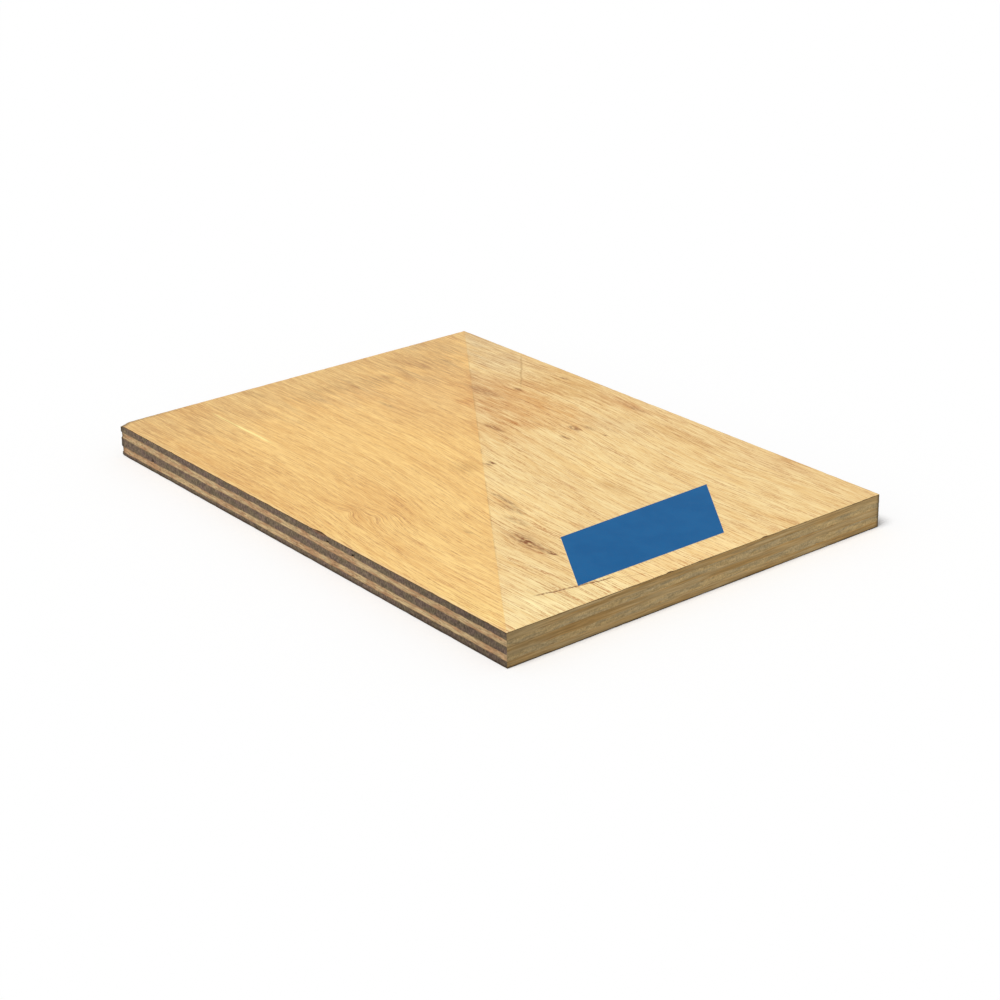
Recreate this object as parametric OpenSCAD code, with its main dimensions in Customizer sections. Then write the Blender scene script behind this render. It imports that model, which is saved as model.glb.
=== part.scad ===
// Plywood sheet: a panel of seven-ply, 18 mm stock, lying flat.
// X runs along the face grain, Y runs across it and Z is up.
// The origin is the middle of the underside.

/* [Sheet] */
// Length along the face grain
sheet_length = 340; // [60:1:2440]
// Width across the face grain
sheet_width = 240; // [60:1:1220]

/* [Plies] */
// Thickness of the face veneer and of the back veneer
face_thickness = 0.5; // [0.3:0.05:1.5]
// Thickness of the two outer crossbands
crossband_thickness = 3.1; // [1.6:0.1:5]
// Thickness of the two core plies
core_thickness = 3.4; // [1.6:0.1:5]
// Thickness of the centre crossband
centre_thickness = 4; // [1.6:0.1:5]

/* [Edges] */
// Sanded bevel round the outer edge of the face and back veneers
arris = 0.2; // [0.05:0.05:0.25]
// Splintered corner of the core plies, measured along the long side
chip_along = 1.2; // [0.4:0.1:4]
// Splintered corner of the core plies, measured along the short end
chip_across = 0.8; // [0.4:0.1:4]

/* [Core gaps] */
// Gaps in the upper crossband, measured along the long side from the near end
upper_gaps = [139, 118]; // [5:1:330]
// Gap in the centre crossband, measured the same way
centre_gaps = [306]; // [5:1:330]
// Width of a gap between two strips of crossband
gap_width = 1; // [0.4:0.1:3]
// Height of a gap above the glue line
gap_height = 1.1; // [0.4:0.1:1.4]
// Depth of a gap into the long side
gap_depth = 8; // [2:0.5:25]

/* [Hidden] */

// Height of each glue line above the underside, from the back veneer up
lower_crossband_z = face_thickness;
lower_core_z = lower_crossband_z + crossband_thickness;
centre_z = lower_core_z + core_thickness;
upper_core_z = centre_z + centre_thickness;
upper_crossband_z = upper_core_z + core_thickness;
face_z = upper_crossband_z + crossband_thickness;

// How far a cut runs past the face that it opens
overcut = 1;

// Wood colours: sanded face, sawn long grain and sawn end grain
face_colour = [0.92, 0.77, 0.53];
core_colour = [0.72, 0.59, 0.44];
crossband_colour = [0.45, 0.38, 0.32];

// Flat ply of the sheet's size, standing on a glue line
module ply(bottom, thickness) {
    translate([-sheet_length / 2, -sheet_width / 2, bottom])
        cube([sheet_length, sheet_width, thickness]);
}

// Section of an outer veneer with both upper edges bevelled
module bevelled_section(width) {
    polygon([
        [-width / 2, 0], [width / 2, 0],
        [width / 2, face_thickness - arris], [width / 2 - arris, face_thickness],
        [-width / 2 + arris, face_thickness], [-width / 2, face_thickness - arris]
    ]);
}

// Outer veneer with its show side up, bevelled on all four edges
module outer_veneer() {
    intersection() {
        rotate([90, 0, 0])
            linear_extrude(height = sheet_width, center = true)
                bevelled_section(sheet_length);
        rotate([90, 0, 90])
            linear_extrude(height = sheet_length, center = true)
                bevelled_section(sheet_width);
    }
}

// Open joint between two strips of a crossband, cut in from the long side along the glue line
module core_gap(from_end, bottom) {
    translate([sheet_length / 2 - from_end - gap_width / 2, -sheet_width / 2 - overcut, bottom - overcut])
        cube([gap_width, gap_depth + overcut, gap_height + overcut]);
}

// Ply whose grain runs across the sheet, with open joints at the given places
module crossband(bottom, thickness, gaps) {
    color(crossband_colour)
        difference() {
            ply(bottom, thickness);
            for (from_end = gaps) core_gap(from_end, bottom);
        }
}

// Ply whose grain runs along the sheet, with its near left corner splintered off
module core_ply(bottom) {
    left = -sheet_length / 2;
    right = sheet_length / 2;
    near = -sheet_width / 2;
    far = sheet_width / 2;
    color(core_colour)
        translate([0, 0, bottom])
            linear_extrude(height = core_thickness)
                polygon([
                    [left + chip_along, near], [right, near], [right, far],
                    [left, far], [left, near + chip_across]
                ]);
}

module face_veneer() {
    color(face_colour)
        translate([0, 0, face_z])
            outer_veneer();
}

module back_veneer() {
    color(face_colour)
        translate([0, 0, face_thickness])
            mirror([0, 0, 1])
                outer_veneer();
}

back_veneer();
crossband(lower_crossband_z, crossband_thickness, []);  // lower_crossband
core_ply(lower_core_z);  // lower_core_ply
crossband(centre_z, centre_thickness, centre_gaps);  // centre_crossband
core_ply(upper_core_z);  // upper_core_ply
crossband(upper_crossband_z, crossband_thickness, upper_gaps);  // upper_crossband
face_veneer();
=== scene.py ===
# %% [markdown]
# # A sheet of plywood
# Plywood is a stack of thin sheets of wood, called plies, glued so that the grain turns a quarter at each
# layer. This panel has seven: a thin sanded face, a thin back, and five thick plies between them, which
# show as dark and light bands on the sawn edges.
# The solids of the seven plies could simply be painted, but flat boxes have no fibres, pits or splinters.
# So the solids give the sizes, and each ply is modelled again in the same place, with its surface as a
# saw and sandpaper leave it. Sizes below are in millimetres, and become metres when a mesh is made.

# %% Load the solids
import math

import bpy
import numpy as np
from mathutils import Matrix, Vector


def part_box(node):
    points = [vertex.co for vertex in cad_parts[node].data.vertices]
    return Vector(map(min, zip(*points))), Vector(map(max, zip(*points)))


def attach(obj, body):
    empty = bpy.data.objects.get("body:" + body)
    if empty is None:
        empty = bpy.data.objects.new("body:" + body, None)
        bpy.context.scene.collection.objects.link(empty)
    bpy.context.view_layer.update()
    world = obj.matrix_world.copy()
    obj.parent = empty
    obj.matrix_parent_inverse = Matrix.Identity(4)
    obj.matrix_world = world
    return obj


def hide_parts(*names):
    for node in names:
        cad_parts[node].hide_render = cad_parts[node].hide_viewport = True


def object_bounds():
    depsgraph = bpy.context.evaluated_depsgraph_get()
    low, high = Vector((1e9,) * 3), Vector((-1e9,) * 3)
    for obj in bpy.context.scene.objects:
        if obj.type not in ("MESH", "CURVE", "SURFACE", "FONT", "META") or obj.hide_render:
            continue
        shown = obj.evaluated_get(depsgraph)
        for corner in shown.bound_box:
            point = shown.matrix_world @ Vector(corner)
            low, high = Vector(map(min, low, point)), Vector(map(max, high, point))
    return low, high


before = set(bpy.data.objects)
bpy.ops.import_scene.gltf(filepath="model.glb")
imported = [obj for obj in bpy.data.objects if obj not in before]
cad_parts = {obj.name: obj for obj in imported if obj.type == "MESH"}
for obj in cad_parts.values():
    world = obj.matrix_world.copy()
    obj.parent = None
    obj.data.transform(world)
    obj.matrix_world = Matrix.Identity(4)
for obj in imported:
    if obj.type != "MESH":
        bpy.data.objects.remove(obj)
solid_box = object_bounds()
mm = 0.001
sheet_size = (solid_box[1] - solid_box[0]) / mm
half_size = np.array(sheet_size[:2]) / 2
print("sheet in millimetres:", [round(size, 2) for size in sheet_size])

# %% [markdown]
# ## The camera
# A camera can be set up by eye, or worked out from the picture. The sheet has straight edges and square
# corners, so its outline in the picture settles the lens and the place of the camera: it looks down by
# 23 degrees on the corner between the long near side and the right end. Turning about the upright axis,
# then tipping, then rolling is the order in which a tripod head moves, and easy to change later.

# %% Camera
camera_place = Vector((874.92, -676.56, 462.79))
camera_turn = math.radians(51.82)
camera_dip = math.radians(22.992)
camera_roll = math.radians(-1.116)
camera_lens = 81.6

camera = bpy.data.objects.new("camera", bpy.data.cameras.new("camera"))
camera.data.lens = camera_lens
camera.matrix_world = (
    Matrix.Translation(camera_place * mm)
    @ Matrix.Rotation(camera_turn, 4, "Z")
    @ Matrix.Rotation(math.pi / 2 - camera_dip, 4, "X")
    @ Matrix.Rotation(camera_roll, 4, "Z")
)
bpy.context.scene.collection.objects.link(camera)
bpy.context.scene.camera = camera
print("camera is", round(camera_place.length), "mm from the sheet's middle")

# %% [markdown]
# ## Nodes in short
# A material is a tree of nodes. Adding each node with five lines of code would bury the idea, so a small
# class does it: every method adds one node and hands back its output, and any input takes a plain value
# or another node's output. Colours are written as screen colours from 0 to 255 and turned into the
# linear light that a renderer counts in.

# %% A helper for materials
def paint(red, green, blue):
    """A screen colour as linear light."""
    return *(((part / 255 + 0.055) / 1.055) ** 2.4 for part in (red, green, blue)), 1.0


class Finish:
    """A material in the making."""

    def __init__(self, name):
        self.material = bpy.data.materials.new(name)
        self.material.use_nodes = True
        self.tree = self.material.node_tree
        self.shader = self.tree.nodes.get("Principled BSDF")

    def plug(self, socket, value):
        if isinstance(value, bpy.types.NodeSocket):
            self.tree.links.new(value, socket)
        else:
            socket.default_value = value

    def add(self, kind, inputs, output=0, **settings):
        node = self.tree.nodes.new("ShaderNode" + kind)
        for name, value in settings.items():
            setattr(node, name, value)
        for key, value in inputs.items():
            self.plug(node.inputs[key], value)
        return node.outputs[output]

    def maths(self, operation, *values):
        return self.add("Math", dict(enumerate(values)), operation=operation)

    def ramp(self, value, low, high, at_low=0.0, at_high=1.0):
        """Runs smoothly from at_low to at_high while value goes from low to high."""
        limits = {0: value, 1: low, 2: high, 3: at_low, 4: at_high}
        return self.add("MapRange", limits, interpolation_type="SMOOTHSTEP")

    def mix(self, share, first, second, way="MIX"):
        """Mixes two colours by a share from 0 to 1."""
        return self.add("Mix", {0: share, 6: first, 7: second}, 2, data_type="RGBA", blend_type=way)

    def close(self, **inputs):
        """Plugs the results into the shader."""
        for name, value in inputs.items():
            self.plug(self.shader.inputs[name.replace("_", " ").title().replace("Ior", "IOR")], value)
        print(self.material.name, "has", len(self.tree.nodes), "nodes")
        return self.material


print("white paint as light:", paint(255, 255, 255))

# %% [markdown]
# ## Light and floor
# The picture has soft light from high in front: the long side gets about two thirds of the light that
# the face gets, and the right end less than half. A ring of lamps could give that, but a lamp like a
# hazy sun, an even sky and a pale floor are enough, and they light every part of the floor alike.
# The three numbers of `lamp_shares` are the lamp's share on the right end, the long side and the face;
# with the sky they add up to 1 on the face, so colours come out as they are written.

# %% Sky and lamp
sky_share = 0.35
lamp_shares = Vector((0.06, -0.3, 0.65))
lamp_haze = math.radians(30)

scene = bpy.context.scene
scene.view_settings.view_transform = "Standard"
scene.world = bpy.data.worlds.new("even_sky")
scene.world.use_nodes = True


def seen_directly(tree):
    """1 for a ray that shows the backdrop, to the camera or in a mirror or glass, and 0 for other light."""
    path = tree.nodes.new("ShaderNodeLightPath")
    seen = path.outputs["Is Camera Ray"]
    for name in ("Is Glossy Ray", "Is Transmission Ray"):
        larger = tree.nodes.new("ShaderNodeMath")
        larger.operation = "MAXIMUM"
        tree.links.new(seen, larger.inputs[0])
        tree.links.new(path.outputs[name], larger.inputs[1])
        seen = larger.outputs[0]
    return seen


sky = scene.world.node_tree
sky_level = sky.nodes.new("ShaderNodeMapRange")
sky_level.inputs["To Min"].default_value = sky_share
sky.links.new(seen_directly(sky), sky_level.inputs["Value"])
sky.nodes["Background"].inputs["Color"].default_value = (1, 1, 1, 1)
sky.links.new(sky_level.outputs[0], sky.nodes["Background"].inputs["Strength"])

lamp = bpy.data.objects.new("hazy_sun", bpy.data.lights.new("hazy_sun", "SUN"))
lamp.data.energy = math.pi * lamp_shares.length
lamp.data.angle = lamp_haze
lamp.rotation_euler = lamp_shares.to_track_quat("Z", "Y").to_euler()
scene.collection.objects.link(lamp)
print("light on the face:", round(sky_share + lamp_shares.z, 3))

# %% Floor
floor_reach, floor_drop = 12.0, 0.00005
floor_shown = (1.0, 1.0, 1.0, 1.0)
floor_bounce = (0.42, 0.42, 0.42, 1.0)
corner_signs = ((-1, -1), (1, -1), (1, 1), (-1, 1))

floor_mesh = bpy.data.meshes.new("pale_floor")
floor_corners = [(x * floor_reach, y * floor_reach, -floor_drop) for x, y in corner_signs]
floor_mesh.from_pydata(floor_corners, [], [(0, 1, 2, 3)])
floor = bpy.data.objects.new("pale_floor", floor_mesh)
scene.collection.objects.link(floor)

floor_finish = Finish("pale_floor")
floor_colour = floor_finish.mix(seen_directly(floor_finish.tree), floor_bounce, floor_shown)
floor_finish.close(base_color=floor_colour, roughness=1.0, specular_ior_level=0.0)
floor_mesh.materials.append(floor_finish.material)

# %% [markdown]
# ## Noise for shapes
# Wood is irregular, and the same irregular wood has to come back at every run. Blender can displace a mesh
# by a texture, but then two plies that meet would not know each other's heights, so the noise is made
# here. It has random heights at whole numbers, from a numbered seed, joined by smooth slopes. Stretching
# its steps along one axis gives fibres and furrows, and a number added to a place only picks another part
# of the lattice.

# %% Smooth noise
lattice_side = 256


def smooth_step(share):
    """Eases a share into 0 and 1, and keeps it between them."""
    share = np.clip(share, 0, 1)
    return share * share * (3 - 2 * share)


def smooth_noise(along, across, seed):
    """Smooth heights from 0 to 1, with one hill or hollow to each whole step."""
    lattice = np.random.default_rng(seed).random((lattice_side, lattice_side))
    column, row = np.floor(along).astype(int), np.floor(across).astype(int)
    right, up = smooth_step(along - column), smooth_step(across - row)

    def corner(step_right, step_up):
        return lattice[(column + step_right) % lattice_side, (row + step_up) % lattice_side]

    low = corner(0, 0) * (1 - right) + corner(1, 0) * right
    high = corner(0, 1) * (1 - right) + corner(1, 1) * right
    return low * (1 - up) + high * up


def peaks(noise, least):
    """Only what stands over least, stretched to run from 0 to 1."""
    return np.clip((noise - least) / (1 - least), 0, 1)


print("noise runs to", smooth_noise(np.linspace(0, 50, 500), np.zeros(500), 1).max().round(3))

# %% [markdown]
# ## Glue lines
# The plies meet at glue lines. On a real sawn edge they are never quite straight, because veneer is
# peeled in uneven strips and pressed soft. Each line keeps its height from the solids, wanders by a few
# tenths of a millimetre, more on the two ends, and sinks towards the left end, where the lowest band is
# thinnest. At the near left corner, which has been knocked, the top line and the face droop by a
# millimetre. Both plies at a line ask the same function, so that they meet without a gap.

# %% Heights of the glue lines
plies = (
    "back_veneer", "lower_crossband", "lower_core_ply", "centre_crossband",
    "upper_core_ply", "upper_crossband", "face_veneer",
)
line_heights = [0.0] + [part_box(ply)[1].z / mm for ply in plies]
back_line, face_line, sheet_top = 1, 6, line_heights[7]
line_wander = (0.0, 0.08, 0.3, 0.3, 0.3, 0.3, 0.08, 0.0)
left_offset = (0.0, 0.0, -1.3, -1.5, -0.7, -0.6, 0.0, 0.0)
right_offset = (0.0, 0.0, 0.0, -0.1, -0.2, -0.3, 0.0, 0.0)
wave_step, wave_share, ripple_step = 38.0, 1.6, 6.0
end_begins, end_band = 12.0, 4.0
corners = np.array(corner_signs) * half_size
corner_droop, droop_reach = 1.0, 3.5


def near_corner(place, number, reach):
    """1 at a corner of the sheet, counted from the near left one, and almost 0 at twice the reach."""
    from_corner = np.linalg.norm(place[..., :2] - corners[number], axis=-1)
    return np.exp(-((from_corner / reach) ** 2))


def droop(place):
    """How far the knocked corner lowers the top of the sheet."""
    return corner_droop * near_corner(place, 0, droop_reach)


def glue_line(number, place):
    """Height of a glue line at places round the edge."""
    x, y = place.T
    wave = smooth_noise(x / wave_step + 40, y / wave_step + 40, 100 + number) - 0.5
    ripple = smooth_noise(x / ripple_step + 40, y / ripple_step + 40, 120 + number) - 0.5
    left_share = 0.5 - x / half_size[0] / 2
    offset = left_offset[number] * left_share + right_offset[number] * (1 - left_share)
    from_side, from_end = half_size[1] - np.abs(y), half_size[0] - np.abs(x)
    on_end = np.clip(from_side / end_begins, 0, 1) * np.clip(1 - from_end / end_band, 0, 1)
    wander = line_wander[number] * (1 + on_end) * (wave_share * wave + ripple)
    return line_heights[number] + offset + wander - (number == face_line) * droop(place)


print("glue lines at", [round(height, 2) for height in line_heights])

# %% [markdown]
# ## The outline
# All plies share one outline, walked counterclockwise from the near left corner. A ply could be a cube
# with bevels, but then nothing on its edge can be torn or splintered. A walk with a station every few
# tenths of a millimetre leaves room for that. Each station knows which way is out, so relief is a push
# inwards, and the sheet never grows past its solids.

# %% Stations round the sheet
out_ways = np.array([(0.0, -1.0), (1.0, 0.0), (0.0, 1.0), (-1.0, 0.0)])


class Outline:
    """Stations round the sheet: place, way out, side from 0 to 3, and share of the side from and to."""

    def __init__(self, long_shares, short_shares):
        place, out, side, share, next_share = [], [], [], [], []
        for number, shares in enumerate((long_shares, short_shares, long_shares, short_shares)):
            start, end = corners[number], corners[(number + 1) % 4]
            ways = np.tile(out_ways[number], (len(shares) - 1, 1))
            ways[0] += out_ways[number - 1]
            place.append(start + shares[:-1, None] * (end - start))
            out.append(ways)
            side.append(np.full(len(shares) - 1, number))
            share.append(shares[:-1])
            next_share.append(shares[1:])
        self.place, self.out = np.concatenate(place), np.concatenate(out)
        self.side, self.share = np.concatenate(side), np.concatenate(share)
        self.next_share = np.concatenate(next_share)
        self.count = len(self.side)


def worn_corner(place, reach):
    """Rounds the near left corner, where the wear runs the given reach along the two sides."""
    centre = corners[0] + reach
    offset = (place - centre) / reach
    worn = (offset < 0).all(axis=1)
    offset[worn] /= np.linalg.norm(offset[worn], axis=1)[:, None]
    return np.where(worn[:, None], centre + offset * reach, place)


edge_step = 0.4
edge_outline = Outline(*(np.linspace(0, 1, round(2 * half / edge_step) + 1) for half in half_size))
print(edge_outline.count, "stations,", edge_step, "mm apart")

# %% [markdown]
# ## Rings into a mesh
# A ply is a stack of rings: one inside the sheet under it, a few up its sawn edge, and one inside above
# it. Quads join each ring to the next, and a flat cap closes each end. The same quads carry a map for
# textures, in which each sawn side gets a long strip of its own, because the sides are what shows.

# %% Faces between rings
def ring_faces(outline, rows, map_low, map_high):
    """Quads between stacked rings, their places on the texture map and the side that each is on."""
    station = np.arange(outline.count)
    following = np.roll(station, -1)
    strip = (map_high - map_low) / 4
    quads, places = [], []
    for row in range(rows - 1):
        lower, upper = row * outline.count, (row + 1) * outline.count
        quads.append(np.stack([lower + station, lower + following, upper + following, upper + station], 1))
        low, high = (map_low + (outline.side + (row + step) / (rows - 1)) * strip for step in (0, 1))
        begin, end = outline.share, outline.next_share
        ends = ((begin, low), (end, low), (end, high), (begin, high))
        places.append(np.stack([np.stack(pair, 1) for pair in ends], 1))
    return np.concatenate(quads), np.concatenate(places), np.tile(outline.side, rows - 1)


def plan_map(points, low, high):
    """Places on the texture map for points seen from above, in a box of the map."""
    return np.array(low) + (points[:, :2] / half_size / 2 + 0.5) * (np.array(high) - np.array(low))


sharp_from = math.radians(40)


def make_piece(name, points, faces, places, slots, finishes, layers):
    """A mesh object from points in millimetres, with its finishes and its painted layers."""
    mesh = bpy.data.meshes.new(name)
    mesh.from_pydata((points * mm).tolist(), [], faces)
    mesh.uv_layers.new(name="OFBake").data.foreach_set("uv", places.ravel())
    mesh.polygons.foreach_set("material_index", slots)
    for layer, (kind, key, values) in layers.items():
        mesh.attributes.new(layer, kind, "POINT").data.foreach_set(key, np.ravel(values))
    for finish in finishes:
        mesh.materials.append(finish)
    mesh.shade_smooth()
    mesh.set_sharp_from_angle(angle=sharp_from)
    piece = bpy.data.objects.new(name, mesh)
    scene.collection.objects.link(piece)
    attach(piece, "root")
    print(name, "has", sum(len(face) - 2 for face in faces), "triangles")
    return piece


print("one ring has", len(ring_faces(edge_outline, 2, 0, 1)[0]), "quads")

# %% [markdown]
# ## Sawn wood
# A saw leaves two kinds of surface. Cut along the fibres, wood shows furrows and now and then a split.
# Cut across them, it shows the felted ends of the fibres, with torn pits. Both could be left to bump
# mapping, but bump can't throw a shadow or break an outline, so the coarse part is real relief here.

# %% Relief of sawn wood
furrow_length, furrow_width, furrow_depth = 20.0, 0.9, 0.10
split_length, split_width, split_depth, split_least = 7.0, 1.0, 0.22, 0.78
felt_length, felt_width, felt_depth = 0.9, 0.8, 0.08
pit_length, pit_width, pit_depth, pit_least = 2.6, 1.3, 0.28, 0.74


def long_grain_relief(along, height, seed):
    """Depth of fibres that are cut lengthways."""
    furrow = smooth_noise(along / furrow_length + 30, height / furrow_width, seed) ** 2
    split = peaks(smooth_noise(along / split_length + 70, height / split_width, seed + 1), split_least)
    return furrow_depth * furrow + split_depth * split


def end_grain_relief(across, height, seed):
    """Depth of fibres that are cut off."""
    felt = smooth_noise(across / felt_length + 500, height / felt_width, seed)
    pit = peaks(smooth_noise(across / pit_length + 200, height / pit_width, seed + 1), pit_least)
    return felt_depth * felt + pit_depth * pit


sample = np.arange(340.0)
print("long grain is cut", long_grain_relief(sample, sample / 99, 5).max().round(3), "mm deep at most")

# %% [markdown]
# ## Wood patterns
# Every wood finish draws on the same two patterns, streaks and dashes along the grain; seen end on, the
# streaks are the specks of fibre ends. Both need to know where the grain runs, so each piece carries a
# layer named `grain` with a place in millimetres: first along the grain, then across it, then up. Object
# coordinates would do for a straight board, but a painted layer can also bend round a knot. A second
# layer holds the share of light that dirt and stains give back, and in places also painted shade and a
# painted highlight.

# %% Streaks and dashes
noise_low, noise_high = 0.3, 0.7


class Wood(Finish):
    """A finish whose patterns follow the grain."""

    def grain(self, along, across, up, seed):
        """Grain places in steps of the given lengths."""
        place = self.add("Attribute", {}, "Vector", attribute_name="grain")
        steps = {0: place, 1: (1 / along, 1 / across, 1 / up), 2: (seed, 1.7 * seed, 2.3 * seed)}
        return self.add("VectorMath", steps, operation="MULTIPLY_ADD")

    def streaks(self, along, across, seed, detail=2.0, up=None):
        """Noise drawn out along the grain, mostly between noise_low and noise_high."""
        place = self.grain(along, across, up or across, seed)
        return self.add("TexNoise", {"Vector": place, "Scale": 1.0, "Detail": detail, "Roughness": 0.6})

    def dashes(self, along, across, share, seed):
        """Dashes along the grain, in the given share of the places where there could be one."""
        place = self.grain(along, across, across, seed)
        distance = self.add("TexVoronoi", {"Vector": place, "Scale": 1.0}, "Distance")
        chance = self.add("SeparateColor", {0: distance.node.outputs["Color"]})
        dash = self.ramp(distance, 0.2, 0.5, 1.0, 0.0)
        return self.maths("MULTIPLY", dash, self.maths("LESS_THAN", chance, share))

    def shade(self, colour, noise, darkest, lightest):
        """Multiplies a colour by a grey that runs from darkest to lightest with the noise."""
        grey = self.ramp(noise, noise_low, noise_high, darkest, lightest)
        return self.mix(1.0, colour, grey, "MULTIPLY")

    def stained(self, colour, share=1.0):
        """The colour under the stains, painted shade and painted highlights, which take the given share of
        their strength.
        """
        stain = self.add("Attribute", {}, "Color", attribute_name="stain")
        return self.mix(share, colour, stain, "MULTIPLY")

    def finish(self, colour, roughness, height, depth, gloss=0.1):
        """Closes the finish; a height of 1 stands up by the given depth in millimetres."""
        normal = self.add("Bump", {"Height": height, "Distance": depth * mm, "Strength": 1.0})
        return self.close(base_color=colour, roughness=roughness, normal=normal, specular_ior_level=gloss)


print("patterns ready:", [name for name in vars(Wood) if not name.startswith("_")])

# %% [markdown]
# ## Crossband
# Three thick plies have their grain across the sheet. The long sides cut their fibres off: that end
# grain is a dark, greyish brown, felted and speckled, and it makes the dark bands. The two ends cut
# them lengthways, and there they are a plain olive brown with streaks along the edge. One material could
# tell the sides apart by the way that they face, but two are easier to tune, and each face of a mesh can
# name the one that it wears.

# %% Crossband finishes
def crossband_end_grain():
    wood = Wood("crossband_end_grain")
    broad = wood.streaks(60, 9, 1.0, up=5)
    speck = wood.streaks(50, 0.55, 2.0, detail=3.0, up=1.4)
    mottle = wood.streaks(50, 1.7, 3.0, up=1.3)
    colour = wood.mix(wood.ramp(broad, 0.35, 0.65), paint(135, 114, 100), paint(135, 119, 96))
    colour = wood.shade(colour, speck, 0.62, 1.34)
    colour = wood.shade(colour, mottle, 0.8, 1.18)
    colour = wood.mix(wood.ramp(mottle, 0.6, 0.74, 0.0, 0.3), colour, paint(176, 144, 108))
    return wood.finish(wood.stained(colour), 0.85, speck, 0.15)


def crossband_long_grain():
    wood = Wood("crossband_long_grain")
    broad = wood.streaks(50, 2.2, 4.0)
    streak = wood.streaks(16, 0.7, 5.0, detail=3.0)
    vein = wood.dashes(14, 0.9, 0.3, 6.0)
    colour = wood.mix(wood.ramp(broad, 0.35, 0.65), paint(206, 165, 103), paint(224, 193, 139))
    colour = wood.shade(colour, streak, 0.8, 1.18)
    colour = wood.mix(wood.maths("MULTIPLY", vein, 0.35), colour, paint(160, 108, 56))
    return wood.finish(wood.stained(colour), 0.8, streak, 0.15)


crossband_finishes = crossband_long_grain(), crossband_end_grain()

# %% [markdown]
# ## Core ply
# Two thick plies have their grain along the sheet. The long sides show them lengthways as the light
# bands, tan with cream fibres and brown flecks, and the ends show their cut-off fibres, a little greyer
# than the crossbands beside them. A picture of wood would blur up close and repeat, so noise makes the
# tones, and dashes laid over it make the fibres and the flecks.

# %% Core ply finishes
def core_long_grain():
    wood = Wood("core_ply_long_grain")
    patch = wood.streaks(11, 2.0, 11.0)
    streak = wood.streaks(5, 0.7, 12.0, detail=3.0)
    fleck = wood.dashes(3.0, 0.8, 0.25, 13.0)
    fibre = wood.dashes(5, 0.9, 0.3, 17.0)
    colour = wood.mix(wood.ramp(patch, 0.38, 0.62), paint(208, 164, 122), paint(228, 197, 148))
    colour = wood.shade(colour, streak, 0.74, 1.24)
    colour = wood.mix(wood.maths("MULTIPLY", fibre, 0.5), colour, paint(244, 216, 170))
    colour = wood.mix(wood.maths("MULTIPLY", fleck, 0.5), colour, paint(136, 94, 60))
    return wood.finish(wood.stained(colour), 0.8, streak, 0.15)


def core_end_grain():
    wood = Wood("core_ply_end_grain")
    broad = wood.streaks(60, 18, 14.0, up=2.0)
    speck = wood.streaks(50, 0.9, 15.0, detail=3.0, up=0.8)
    smear = wood.streaks(50, 7, 16.0, up=1.2)
    colour = wood.mix(wood.ramp(broad, 0.35, 0.65), paint(212, 187, 140), paint(228, 195, 136))
    colour = wood.shade(colour, speck, 0.84, 1.16)
    colour = wood.shade(colour, smear, 0.82, 1.14)
    return wood.finish(wood.stained(colour), 0.85, speck, 0.12)


core_finishes = core_long_grain(), core_end_grain()

# %% [markdown]
# ## Gaps and a chip
# Where two strips of a crossband don't quite meet, a small dark gap runs in along the glue, and beside one
# of these gaps the face has lost a chip. Such damage could be cut out of the mesh with a boolean, but
# pushing in the points that lie inside it keeps the mesh closed and its rings in order.

# %% Gaps in the crossbands and a chip in the face
gap_places = {"upper_crossband": (31.0, 52.0), "centre_crossband": (-136.0,)}
gap_width, gap_height, gap_depth, gap_play = 1.0, 1.1, 7.0, 0.15
chip_place, chip_reach, chip_band = 24.0, 5.0, 5.0


def blunt_peak(distance, reach, flat_share=0.3):
    """1 within a share of the reach, falling to 0 at the same share beyond it."""
    return np.clip(1 + flat_share - np.abs(distance) / reach, 0, 1)


def core_gaps(ply, outline, height):
    """Depth of the open joints on the near side of a crossband, at heights over its glue line."""
    depth = np.zeros_like(height)
    for place in gap_places.get(ply, ()):
        inside = (outline.side == 0) & (np.abs(outline.place[:, 0] - place) < gap_width / 2 + gap_play)
        depth[(height < gap_height) & inside] = gap_depth
    return depth


def chip_share(x, y):
    """1 in the middle of the chip on the near edge, falling to 0 at its ends."""
    return blunt_peak(x - chip_place, chip_reach) * (y < chip_band - half_size[1])


print("gaps at", gap_places, "and a chip at", chip_place)

# %% [markdown]
# ## Grime and painted shade on the sawn edges
# Handling has left its traces: the worn near left corner is grimy, and dirt from hands grows along the near
# side towards the right end. The edge at the far right corner is darker. The lowest rim is darker too,
# partly grimy and partly painted shade where the sheet meets the floor, and the right end carries painted
# shade, darkest towards the near right corner. Under the chip, the upper crossband shows newly torn reddish
# fibres, and the gaps are painted dark inside and round their mouths as shade. A picture could hold all
# this, but each trace has a plain place on the sheet, so its share of light is worked out point by point
# and painted into the stain layer.

# %% Grime and painted shade
grime_reach, grime_and_shade_foot, edge_band = 3.0, 1.9, 2.0
grime_and_shade_share = {"corner": 0.68, "side foot": 0.72, "end foot": 0.35}
far_corner_dark, far_corner_reach = 0.75, 1.4
handled_from, handled_run = 60.0, 80.0
handled_share = {"crossband": 0.24, "core_ply": 0.06}
# The right end gets painted shade: darker towards the near side and round the near right corner.
end_fade, near_corner_shade, near_corner_reach = 0.09, 0.1, 18.0


def grime_and_foot_shade(points):
    """Grime at the worn corner, a darker far right corner, and a foot darkened partly as dirt, partly as
    painted shade.
    """
    grime_and_shade = grime_and_shade_share["corner"] * near_corner(points, 0, grime_reach)
    # A darker edge at the far right corner.
    grime_and_shade = np.maximum(grime_and_shade, far_corner_dark * near_corner(points, 2, far_corner_reach))
    # The lowest rim is darkened partly as grime and partly as painted shade where the sheet meets the
    # floor.
    on_side = half_size[1] - np.abs(points[:, 1]) < edge_band
    foot = np.where(on_side, grime_and_shade_share["side foot"], grime_and_shade_share["end foot"])
    return np.maximum(grime_and_shade, foot * np.clip(1 - points[:, 2] / grime_and_shade_foot, 0, 1))[:, None]


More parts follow.
